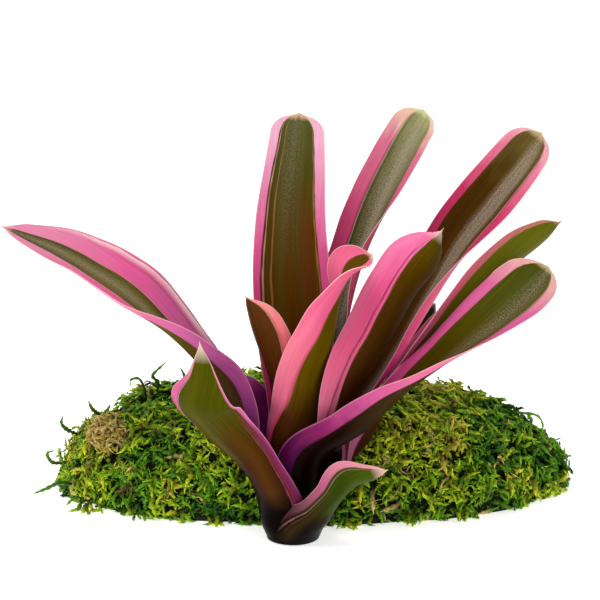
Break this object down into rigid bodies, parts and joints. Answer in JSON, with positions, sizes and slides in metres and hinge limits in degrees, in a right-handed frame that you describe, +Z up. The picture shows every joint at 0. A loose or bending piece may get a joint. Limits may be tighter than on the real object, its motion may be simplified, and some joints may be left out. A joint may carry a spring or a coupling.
{
  "type": "bromeliad plant",
  "caption": "Variegated neoregelia bromeliad: a tank rosette of strap leaves with pink margins on a short stem, standing in a low mound of green carpet moss.",
  "frame": {"origin": "centre of the stem foot's flat underside, level with the underside of the moss", "axes": "+Z up, +X to the plant's right as seen from the front, -Y towards the front"},
  "size_m": [0.3062, 0.202, 0.2116],
  "materials": {
    "leaf_low_front_right": "olive green blade with pink margins, satin leaf surface",
    "leaf_low_front_left": "olive green blade with pink margins, satin leaf surface",
    "leaf_right_rear": "olive green blade with pink margins, satin leaf surface",
    "leaf_right_middle": "olive green blade with pink margins, satin leaf surface",
    "leaf_right_tall": "olive green blade with pink margins, satin leaf surface",
    "leaf_right_front": "olive green blade with pink margins, satin leaf surface",
    "leaf_left_long": "olive green blade with pink margins, satin leaf surface",
    "leaf_back_right": "olive green blade with pink margins, satin leaf surface",
    "leaf_back_centre": "olive green blade with pink margins, satin leaf surface",
    "leaf_inner_front": "olive green blade with pink margins, satin leaf surface",
    "leaf_inner_right": "olive green blade with pink margins, satin leaf surface",
    "leaf_inner_left": "olive green blade with pink margins, satin leaf surface",
    "stem": "dark brown, matt",
    "moss_pad": "yellow green living moss, matt",
    "dry_moss_tuft": "tan dried moss, matt"
  },
  "bodies": {
    "root": {"leaf_low_front_right": "leaf_low_front_right", "leaf_low_front_left": "leaf_low_front_left", "leaf_right_rear": "leaf_right_rear", "leaf_right_middle": "leaf_right_middle", "leaf_right_tall": "leaf_right_tall", "leaf_right_front": "leaf_right_front", "leaf_left_long": "leaf_left_long", "leaf_back_right": "leaf_back_right", "leaf_back_centre": "leaf_back_centre", "leaf_inner_front": "leaf_inner_front", "leaf_inner_right": "leaf_inner_right", "leaf_inner_left": "leaf_inner_left", "stem": "stem", "moss_pad": "moss_pad", "dry_moss_tuft": "dry_moss_tuft"}
  },
  "joints": []
}
